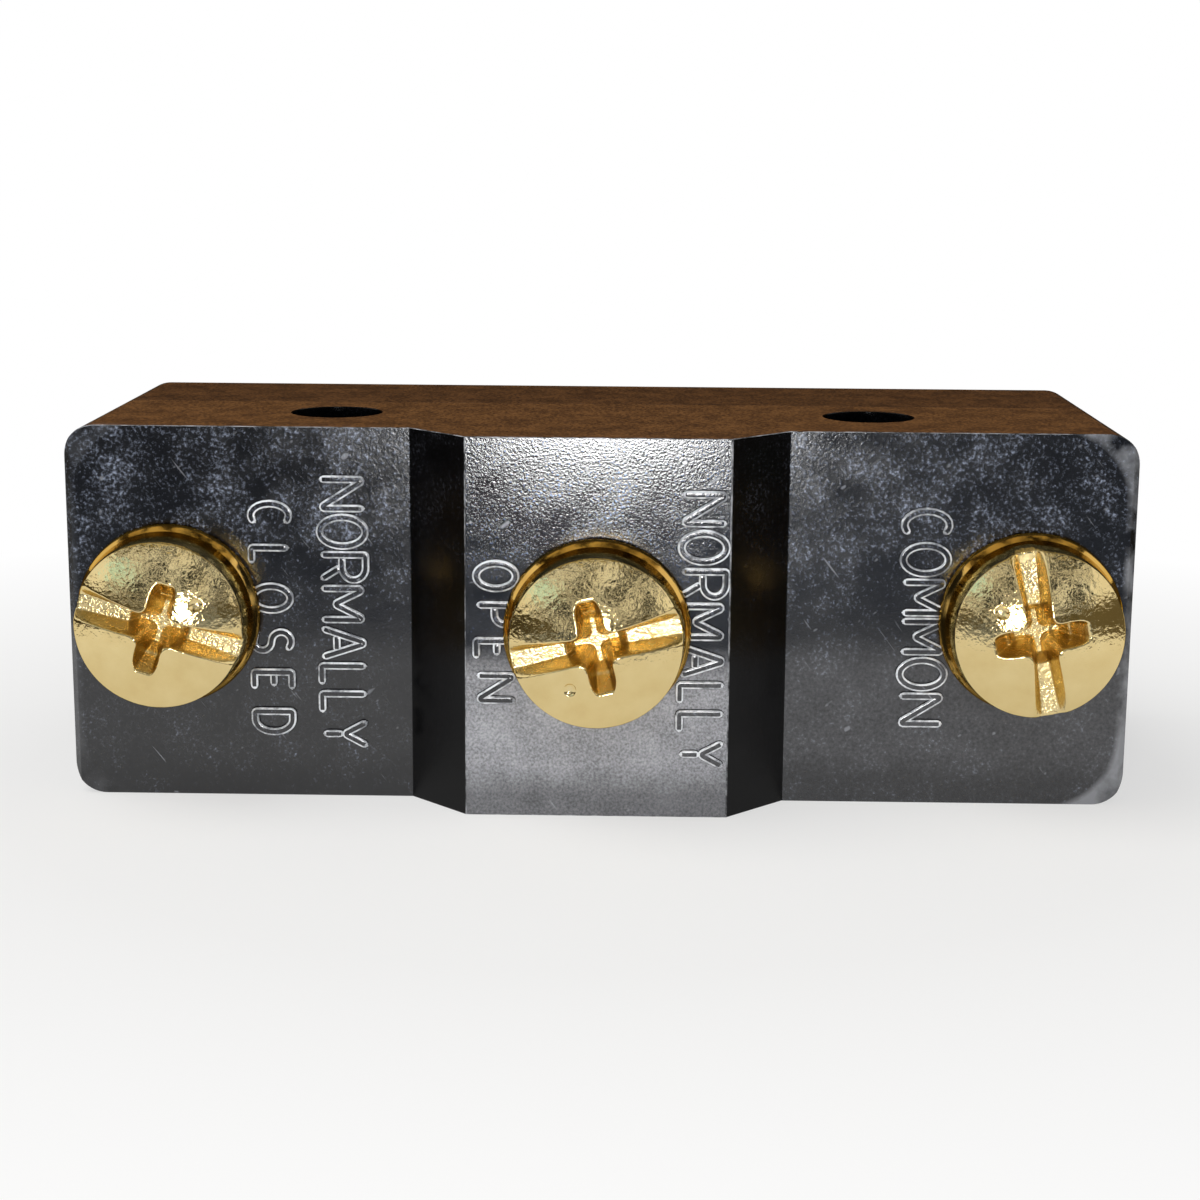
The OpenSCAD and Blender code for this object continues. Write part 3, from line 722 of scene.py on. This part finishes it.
def stroke_tree():
    """Geometry Nodes that give drawn strokes a raised section with sloped sides and round ends."""
    tree, given = new_tree(
        "raised_strokes", "Foot Width", "Top Width", "Height", "Corner", "Crest", "Step",
    )
    path = add(tree, "GeometryNodeMeshToCurve", {"Mesh": given["Geometry"]})
    soft = add(tree, "GeometryNodeFilletCurve", {
        "Curve": path.outputs[0], "Radius": given["Corner"],
        "Count": STROKE_CORNER_STEPS, "Limit Radius": True,
    }, mode="POLY")
    fine = add(tree, "GeometryNodeResampleCurve", {
        "Curve": soft.outputs[0], "Length": given["Step"],
    }, mode="LENGTH")
    level = add(tree, "GeometryNodeSetCurveNormal", {"Curve": fine.outputs[0]}, mode="Z_UP")

    # An open stroke shrinks over its last top width along a quarter circle, to a small end
    along = add(tree, "GeometryNodeSplineParameter").outputs["Length"]
    whole = add(tree, "GeometryNodeSplineLength").outputs["Length"]
    left = add(tree, "ShaderNodeMath", {0: whole, 1: along}, operation="SUBTRACT")
    nearest = add(tree, "ShaderNodeMath", {0: along, 1: left.outputs[0]}, operation="MINIMUM")
    share = add(tree, "ShaderNodeMath", {
        0: nearest.outputs[0], 1: given["Top Width"],
    }, operation="DIVIDE")
    gone = add(tree, "ShaderNodeMath", {
        0: 1.0, 1: share.outputs[0],
    }, operation="SUBTRACT", use_clamp=True).outputs[0]
    square = add(tree, "ShaderNodeMath", {0: gone, 1: gone}, operation="MULTIPLY")
    rest = add(tree, "ShaderNodeMath", {
        0: STROKE_END, 1: square.outputs[0],
    }, operation="SUBTRACT")
    round_end = add(tree, "ShaderNodeMath", {0: rest.outputs[0]}, operation="SQRT")
    cyclic = add(tree, "GeometryNodeInputSplineCyclic").outputs[0]
    swell = add(tree, "ShaderNodeMath", {
        0: round_end.outputs[0], 1: cyclic,
    }, operation="MAXIMUM")

    section = add(tree, "GeometryNodeCurvePrimitiveQuadrilateral", {
        "Bottom Width": given["Top Width"], "Top Width": given["Foot Width"],
        "Offset": 0.0, "Height": given["Height"],
    }, mode="TRAPEZOID")
    eased = add(tree, "GeometryNodeFilletCurve", {
        "Curve": section.outputs[0], "Radius": given["Crest"],
        "Count": STROKE_CREST_STEPS, "Limit Radius": True,
    }, mode="POLY")
    ribs = add(tree, "GeometryNodeCurveToMesh", {
        "Curve": level.outputs[0], "Profile Curve": eased.outputs[0],
        "Scale": swell.outputs[0], "Fill Caps": True,
    })
    clean = add(tree, "GeometryNodeMergeByDistance", {
        "Geometry": ribs.outputs[0], "Distance": STROKE_MERGE,
    }, mode="CONNECTED")
    smooth = add(tree, "GeometryNodeSetShadeSmooth", {"Geometry": clean.outputs[0]})
    real = add(tree, "GeometryNodeRealizeInstances", {"Geometry": smooth.outputs[0]})
    done = add(tree, "GeometryNodeSetMaterial", {
        "Geometry": real.outputs[0], "Material": given["Material"],
    })
    add(tree, "NodeGroupOutput", {"Geometry": done.outputs[0]})
    return tree


def shape_by(piece, tree, **values):
    """Gives a piece a Geometry Nodes modifier, its inputs set by their sockets' identifiers."""
    modifier = piece.modifiers.new(tree.name, "NODES")
    modifier.node_group = tree
    names = {
        socket.name.replace(" ", "_").lower(): socket.identifier
        for socket in tree.interface.items_tree if socket.in_out == "INPUT"
    }
    for name, value in values.items():
        modifier[names[name]] = value


raised_strokes = stroke_tree()


def raised_word(name, letters, terminal, cap, foot_x, top_z, bottom_z):
    """A word that reads downwards on a terminal face, its letters' tops towards +X."""
    widths = [LETTERS[letter][0] * cap for letter in letters]
    gap = (top_z - bottom_z - sum(widths)) / (len(letters) - 1)
    mesh = bpy.data.meshes.new(name)
    points, edges = [], []
    start = 0.0
    for letter, width in zip(letters, widths):
        for stroke in LETTERS[letter][1]:
            first = len(points)
            closed = math.dist(stroke[0], stroke[-1]) < SAME_POINT
            corners = stroke[:-1] if closed else stroke
            points += [(start + x * cap, y * cap, 0) for x, y in corners]
            edges += [(first + i, first + i + 1) for i in range(len(corners) - 1)]
            if closed:
                edges.append((len(points) - 1, first))
        start += width + gap
    mesh.from_pydata(points, edges, [])
    word = new_object(name, mesh)
    shape_by(
        word, raised_strokes, foot_width=STROKE_FOOT, top_width=STROKE_TOP,
        height=STROKE_RISE + STROKE_ROOT, corner=STROKE_CORNER, crest=STROKE_CREST,
        step=STROKE_STEP, material=letter_wear_and_highlight,
    )

    # The tops keep the face's skin, the shoulders are pale, painted highlights with some wear, and
    # the sides take the darker copy, painted shade
    plain_mesh(word, (face_phenolic, letter_wear_and_highlight, shaded_phenolic))
    middle = terminal_place[terminal].y - (STROKE_RISE - STROKE_ROOT) / 2 * MM
    down_the_face = Matrix(((0, 1, 0, foot_x), (0, 0, -1, 0), (-1, 0, 0, top_z), (0, 0, 0, 1)))
    word.data.transform(
        Matrix.Translation((0, middle, 0)) @ Matrix.Scale(MM, 4) @ down_the_face
    )
    for face in word.data.polygons:
        outward = -face.normal.y
        face.material_index = (
            int(outward < STROKE_TOP_FACING) + int(outward < STROKE_SHOULDER_FACING)
        )
    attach(word, "housing")


for word in WORDS:
    raised_word(*word)


# Binding screws and cup washers


def least(a, b, blend):
    """The lower of two heights, rounded off where they cross."""
    share = np.clip(0.5 + 0.5 * (b - a) / blend, 0, 1)
    return b * (1 - share) + a * share - blend * share * (1 - share)


def dome_height(radius):
    """Height of the whole dome over the underside of the head, in millimetres."""
    drop = math.sqrt(DOME_RADIUS ** 2 - HEAD_D ** 2 / 4)
    return HEAD_SIDE + np.sqrt(DOME_RADIUS ** 2 - radius ** 2) - drop


def head_height(u, v):
    """Height of the head over its underside, with u along the slot and v across it."""
    radius = np.hypot(u, v)
    edge = HEAD_D / 2
    crown = dome_height(0)
    cap = dome_height(radius)
    dome = least(cap, HEAD_SIDE + (edge - radius) * RIM_SLOPE, RIM_EASE)
    from_dimple = np.hypot(u - DIMPLE_PLACE[0], v - DIMPLE_PLACE[1]) / DIMPLE_RADIUS
    dome = dome - DIMPLE_DEPTH * np.clip(1 - from_dimple ** 2, 0, 1) ** DIMPLE_POWER

    # Walls run down from the mouths of the slot and of the cross's wings, and blend where they meet
    flare = np.clip((np.abs(u) - SLOT_FLARE_START) / (edge - SLOT_FLARE_START), 0, 1)
    mouth = (SLOT_MOUTH + (SLOT_MOUTH_END - SLOT_MOUTH) * flare) / 2
    foot = (SLOT_FLOOR + (SLOT_FLOOR_END - SLOT_FLOOR) * flare) / 2
    depth = np.maximum(cap - crown + SLOT_DEPTH, SLOT_LEAST_DEPTH)
    slot_wall = (np.abs(v) - mouth) * depth / (mouth - foot)
    past_side = np.abs(u) - WING_WIDTH / 2 + WING_ROUND
    past_tip = (np.abs(v) - CROSS_SPAN / 2) * WING_TIP_LEAN + WING_ROUND
    beyond = np.hypot(np.maximum(past_side, 0), np.maximum(past_tip, 0))
    within = np.minimum(np.maximum(past_side, past_tip), 0)
    wing_wall = (beyond + within - WING_ROUND) * WING_SLOPE
    walls = cap + least(slot_wall, wing_wall, CORNER_BLEND)

    # The floor is the slot's gritty bottom and the cone of the cross
    rise = CROSS_DEPTH / (CROSS_SPAN / 2 - CROSS_FLOOR / 2)
    cone = crown - CROSS_DEPTH + np.maximum(radius - CROSS_FLOOR / 2, 0) * rise
    grit = SLOT_GRIT * np.random.default_rng(GRIT_SEED).random(u.shape)
    floor = least(crown - SLOT_DEPTH - grit, cone, FLOOR_BLEND)
    recess = -least(-floor, -walls, FLOOR_BLEND)
    return least(dome, recess, EDGE_EASE)


def screw_head(name, material):
    """The domed head with its slot and cross recess, as a grid that runs out into a circle."""
    side = np.linspace(-1, 1, HEAD_GRID + 1)
    s, t = np.meshgrid(side, side, indexing="ij")
    edge = HEAD_D / 2
    u = edge * s * np.sqrt(1 - t ** 2 / 2)
    v = edge * t * np.sqrt(1 - s ** 2 / 2)
    height = head_height(u, v)
    points = np.stack([u, v, height], axis=-1).reshape(-1, 3).tolist()
    last = HEAD_GRID
    row = last + 1
    faces = [
        (i * row + j, (i + 1) * row + j, (i + 1) * row + j + 1, i * row + j + 1)
        for i in range(last) for j in range(last)
    ]
    rim = [i * row for i in range(last)] + [last * row + j for j in range(last)]
    rim += [i * row + last for i in range(last, 0, -1)] + [j for j in range(last, 0, -1)]
    base = HEAD_BASE_D / 2
    loops = [rim]
    for radius, level in ((base, UNDER_EASE), (base - UNDER_EASE, 0.0), (THREAD_D / 2, 0.0)):
        ring = []
        for index in rim:
            x, y, _ = points[index]
            ring.append(len(points))
            points.append((x / edge * radius, y / edge * radius, level))
        loops.append(ring)
    for upper, lower in zip(loops, loops[1:]):
        for i in range(len(rim)):
            j = (i + 1) % len(rim)
            faces.append((upper[i], lower[i], lower[j], upper[j]))
    faces.append(loops[-1])
    return mesh_from(name, points, faces, material)


def thread_tree():
    """Geometry Nodes that add a shank under a head, its thread wound along a helix."""
    tree, given = new_tree("threaded_shank", "Diameter", "Pitch", "Length")
    sizes = {}
    for name, whole, share in (
        ("depth", "Pitch", THREAD_DEPTH), ("outer", "Diameter", 0.5),
        ("foot", "Pitch", THREAD_HALF_FOOT), ("foot_low", "Pitch", -THREAD_HALF_FOOT),
        ("crest", "Pitch", THREAD_HALF_CREST), ("crest_low", "Pitch", -THREAD_HALF_CREST),
        ("half_way", "Length", -0.5), ("bottom", "Length", -1.0),
    ):
        sizes[name] = add(tree, "ShaderNodeMath", {
            0: given[whole], 1: share,
        }, operation="MULTIPLY").outputs[0]
    inner = add(tree, "ShaderNodeMath", {
        0: sizes["outer"], 1: sizes["depth"],
    }, operation="SUBTRACT").outputs[0]
    wound = add(tree, "ShaderNodeMath", {
        0: given["Length"], 1: given["Pitch"],
    }, operation="SUBTRACT").outputs[0]
    turns = add(tree, "ShaderNodeMath", {0: wound, 1: given["Pitch"]}, operation="DIVIDE")
    sunk = add(tree, "ShaderNodeMath", {
        0: sizes["depth"], 1: -THREAD_ROOT,
    }, operation="MULTIPLY").outputs[0]
    end = add(tree, "ShaderNodeMath", {
        0: sizes["bottom"], 1: sizes["foot"],
    }, operation="ADD").outputs[0]

    core = add(tree, "GeometryNodeMeshCylinder", {
        "Vertices": SHANK_SIDES, "Radius": inner, "Depth": given["Length"],
    })
    helix = add(tree, "GeometryNodeCurveSpiral", {
        "Resolution": THREAD_STEPS, "Rotations": turns.outputs[0], "Start Radius": inner,
        "End Radius": inner, "Height": wound, "Reverse": True,
    })
    upright = add(tree, "GeometryNodeSetCurveNormal", {"Curve": helix.outputs[0]}, mode="Z_UP")
    corners = (
        (sunk, sizes["foot_low"]), (sizes["depth"], sizes["crest_low"]),
        (sizes["depth"], sizes["crest"]), (sunk, sizes["foot"]),
    )
    section = add(tree, "GeometryNodeCurvePrimitiveQuadrilateral", {
        f"Point {number}": add(tree, "ShaderNodeCombineXYZ", {"X": x, "Y": y}).outputs[0]
        for number, (x, y) in enumerate(corners, 1)
    }, mode="POINTS")
    thread = add(tree, "GeometryNodeCurveToMesh", {
        "Curve": upright.outputs[0], "Profile Curve": section.outputs[0], "Fill Caps": True,
    })
    joined = add(tree, "GeometryNodeJoinGeometry")
    for part, height in ((thread, end), (core, sizes["half_way"])):
        drop = add(tree, "ShaderNodeCombineXYZ", {"Z": height})
        hung = add(tree, "GeometryNodeTransform", {
            "Geometry": part.outputs[0], "Translation": drop.outputs[0],
        })
        tree.links.new(hung.outputs[0], joined.inputs[0])
    tree.links.new(given["Geometry"], joined.inputs[0])
    real = add(tree, "GeometryNodeRealizeInstances", {"Geometry": joined.outputs[0]})
    done = add(tree, "GeometryNodeSetMaterial", {
        "Geometry": real.outputs[0], "Material": given["Material"],
    })
    add(tree, "NodeGroupOutput", {"Geometry": done.outputs[0]})
    return tree


threaded_shank = thread_tree()


def binding_screw(terminal):
    """One binding screw in its washer, turned as the photograph shows it."""
    name = f"{terminal}_binding_screw"
    screw = new_object(name, screw_head(name, screw_brass))
    shank_end = Vector(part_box(f"{terminal}_screw")[1]).y
    washer_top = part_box(f"{terminal}_washer")[0][1] - SEAT_GAP * MM
    shape_by(
        screw, threaded_shank, diameter=THREAD_D * MM, pitch=THREAD_PITCH * MM,
        length=shank_end - washer_top, material=screw_brass,
    )
    plain_mesh(screw, (screw_brass, recess_brass))
    for face in screw.data.polygons:
        x, y, z = face.center / MM
        radius = math.hypot(x, y)
        sunk = radius < HEAD_D / 2 - RIM_EASE and 0 < z < dome_height(radius) - RIM_EASE
        face.material_index = int(sunk)
    seat = Vector((terminal_place[terminal].x, washer_top, terminal_place[terminal].z))
    screw.data.transform(out_of_face(seat, SLOT_TURN[terminal]))
    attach(screw, f"{terminal}_screw")
    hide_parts(f"{terminal}_screw")


def cup_washer(terminal):
    """One pressed cup washer, its rim on the terminal face."""
    name = f"{terminal}_cup_washer"
    outer = WASHER_D / 2
    shoulder = outer - WASHER_SHOULDER
    under = WASHER_HEIGHT - WASHER_SHEET
    outline = rounded([
        (WASHER_HOLE_D / 2, under),
        (shoulder - WASHER_SHEET, under),
        (outer - WASHER_SHEET, 0),
        (outer, 0),
        (outer, WASHER_RIM),
        (shoulder, WASHER_HEIGHT),
        (WASHER_HOLE_D / 2, WASHER_HEIGHT),
    ], WASHER_EASE)
    washer = new_object(name, turned(name, outline, washer_brass))
    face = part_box(f"{terminal}_washer")[1][1]
    seat = Vector((terminal_place[terminal].x, face, terminal_place[terminal].z))
    washer.data.transform(out_of_face(seat))
    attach(washer, f"{terminal}_washer")
    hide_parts(f"{terminal}_washer")


for terminal in TERMINALS:
    binding_screw(terminal)
    cup_washer(terminal)


# Nodes that keep their own shape

for node, material in {
    "cover_rivets": rivet_brass,
    "plunger": pin_steel,
    "snap_blade": blade_copper,
    "moving_contact": contact_silver,
    "closed_contact": contact_silver,
    "open_contact": contact_silver,
    "closed_bracket": terminal_brass,
    "open_bracket": terminal_brass,
    "common_bracket": terminal_brass,
    "closed_insert": terminal_brass,
    "open_insert": terminal_brass,
    "common_insert": terminal_brass,
}.items():
    for slot in frame["nodes"][node].material_slots:
        slot.material = material


# Stage, light and camera, in metres and watts

WHITE = (1.0, 1.0, 1.0, 1.0)
FLOOR_HALF = 1.5
FLOOR_PAPER = "#ecebe8"
FADE_FROM, FADE_TO = 0.028, 0.07
FLOOR_WHITE = 0.6  # share of white on the floor near the object
SKY_LIGHT = 0.35
CARD_PATCH_MM = 90
CARD_HIDDEN_FROM = ("camera", "diffuse", "transmission", "volume_scatter", "shadow")

# Cards for the brass and the glossy faces to mirror: corners, the colours of their patches, strength
CARDS = {
    "dark_table_edge": (
        [(-0.3, -0.4, 0.001), (0.3, -0.4, 0.001), (0.3, -0.036, 0.001), (-0.3, -0.036, 0.001)],
        "#2c2f36", "#9aa2b0", 1.0,
    ),
    "dim_wall": (
        [(-0.4, -0.4, 0.001), (0.4, -0.4, 0.001), (0.4, -0.25, 0.35), (-0.4, -0.25, 0.35)],
        "#26282c", "#f6f9ff", 1.0,
    ),
    "dim_ceiling": (
        [(-0.4, -0.25, 0.35), (0.4, -0.25, 0.35), (0.4, 0.25, 0.35), (-0.4, 0.25, 0.35)],
        "#2a2415", "#c8bc98", 1.0,
    ),
    "small_window": (
        [(-0.27, -0.18, 0.125), (-0.18, -0.27, 0.125), (-0.18, -0.27, 0.195), (-0.27, -0.18, 0.195)],
        "#a9cfdf", "#cdeaf6", 1.5,
    ),
    "left_card": (
        [(-0.06, -0.12, 0.001), (-0.06, 0.02, 0.001), (-0.06, 0.02, 0.02), (-0.06, -0.12, 0.02)],
        "#453f31", "#6a6250", 1.0,
    ),
    "right_card": (
        [(0.06, -0.12, 0.001), (0.06, 0.02, 0.001), (0.06, 0.02, 0.02), (0.06, -0.12, 0.02)],
        "#453f31", "#6a6250", 1.0,
    ),
    "rear_card": (
        [(-0.2, 0.12, 0.002), (0.2, 0.12, 0.002), (0.2, 0.12, 0.12), (-0.2, 0.12, 0.12)],
        "#3c2817", "#4a3420", 1.0,
    ),
}


def seen_as_white(tree):
    """One for rays from the eye or from a mirror, which should meet the white background."""
    path = add(tree, "ShaderNodeLightPath").outputs
    mirrored = add(tree, "ShaderNodeMath", {
        0: path["Is Glossy Ray"], 1: path["Is Transmission Ray"],
    }, operation="MAXIMUM")
    return add(tree, "ShaderNodeMath", {
        0: path["Is Camera Ray"], 1: mirrored.outputs[0],
    }, operation="MAXIMUM").outputs[0]


def pale_floor():
    """A pale floor that keeps the shadow and fades to white away from the object."""
    material, tree, place = new_material("pale_paper_floor", shaded=False)
    reach = add(tree, "ShaderNodeVectorMath", {0: place}, operation="LENGTH")
    fade = add(tree, "ShaderNodeMapRange", {
        "Value": reach.outputs["Value"], "From Min": FADE_FROM, "From Max": FADE_TO,
        "To Min": FLOOR_WHITE, "To Max": 1.0,
    })
    share = add(tree, "ShaderNodeMath", {
        0: fade.outputs[0], 1: seen_as_white(tree),
    }, operation="MULTIPLY")
    paper = add(tree, "ShaderNodeBsdfDiffuse", {"Color": linear(FLOOR_PAPER)})
    white = add(tree, "ShaderNodeEmission", {"Color": WHITE, "Strength": 1.0})
    mixed = add(tree, "ShaderNodeMixShader", {
        0: share.outputs[0], 1: paper.outputs[0], 2: white.outputs[0],
    })
    add(tree, "ShaderNodeOutputMaterial", {"Surface": mixed.outputs[0]})
    half = FLOOR_HALF
    corners = [(-half, -half, 0), (half, -half, 0), (half, half, 0), (-half, half, 0)]
    floor = quad("floor", corners, material)


def card(name, corners, dark, light, level):
    """A patchy card out of the camera's sight, which only shows in what mirrors it."""
    material, tree, place = new_material(name, shaded=False)
    patch = add(tree, "ShaderNodeTexNoise", {
        "Vector": place, "Scale": per_mm(CARD_PATCH_MM), "Detail": 3.0,
    })
    share = add(tree, "ShaderNodeMapRange", {
        "Value": patch.outputs["Fac"], "From Min": 0.44, "From Max": 0.57,
    })
    colour = add(tree, "ShaderNodeMix", {
        "Factor": share.outputs[0], MIX_A: linear(dark), MIX_B: linear(light),
    }, data_type="RGBA")
    glow = add(tree, "ShaderNodeEmission", {"Color": colour.outputs[MIXED], "Strength": level})
    add(tree, "ShaderNodeOutputMaterial", {"Surface": glow.outputs[0]})
    board = quad(name, corners, material)
    for ray in CARD_HIDDEN_FROM:
        setattr(board, f"visible_{ray}", False)


def studio_world():
    """A white background for the eye and for mirrors, which gives a dimmer light."""
    world = bpy.data.worlds.new("white_studio")
    world.use_nodes = True
    tree = world.node_tree
    tree.nodes.clear()
    level = add(tree, "ShaderNodeMapRange", {
        "Value": seen_as_white(tree), "To Min": SKY_LIGHT, "To Max": 1.0,
    })
    sky = add(tree, "ShaderNodeBackground", {"Color": WHITE, "Strength": level.outputs[0]})
    add(tree, "ShaderNodeOutputWorld", {"Surface": sky.outputs[0]})
    bpy.context.scene.world = world


def lamp(name, place, aim, size, power, mirrored=True):
    """A square soft lamp that points at a place, and that shows in mirrors or not."""
    light = bpy.data.lights.new(name, "AREA")
    light.shape = "SQUARE"
    light.size = size
    light.energy = power
    stand = new_object(name, light)
    stand.visible_glossy = mirrored
    direction = Vector(aim) - Vector(place)
    turn = direction.to_track_quat("-Z", "Y").to_matrix().to_4x4()
    stand.matrix_world = Matrix.Translation(place) @ turn


def photo_camera():
    """The camera that took the photograph."""
    camera = bpy.data.cameras.new("photo_camera")
    camera.sensor_width = SENSOR_MM
    camera.lens = SENSOR_MM * FOCAL_PX / IMAGE_PX
    camera.clip_start = CAMERA_CLIP
    turn = Matrix.Identity(3)
    for angle, axis in (
        (CAMERA_YAW, "Z"), (CAMERA_PITCH, "X"), (CAMERA_ROLL, "Y"), (90, "X"),
    ):
        turn = turn @ Matrix.Rotation(math.radians(angle), 3, axis)
    stand = new_object("photo_camera", camera)
    stand.matrix_world = Matrix.Translation(CAMERA_PLACE) @ turn.to_4x4()
    bpy.context.scene.camera = stand


pale_floor()
studio_world()
for name, look in CARDS.items():
    card(name, *look)
lamp(
    "overhead_softbox", place=(-0.2, -0.05, 0.4), aim=(0.0, 0.0, 0.0),
    size=0.35, power=0.85, mirrored=False,
)
lamp(
    "front_lamp", place=(-0.0015, -0.109, 0.0145), aim=(0.0, 0.0, 0.009),
    size=0.018, power=0.055,
)
photo_camera()
bpy.context.scene.view_settings.view_transform = "Standard"
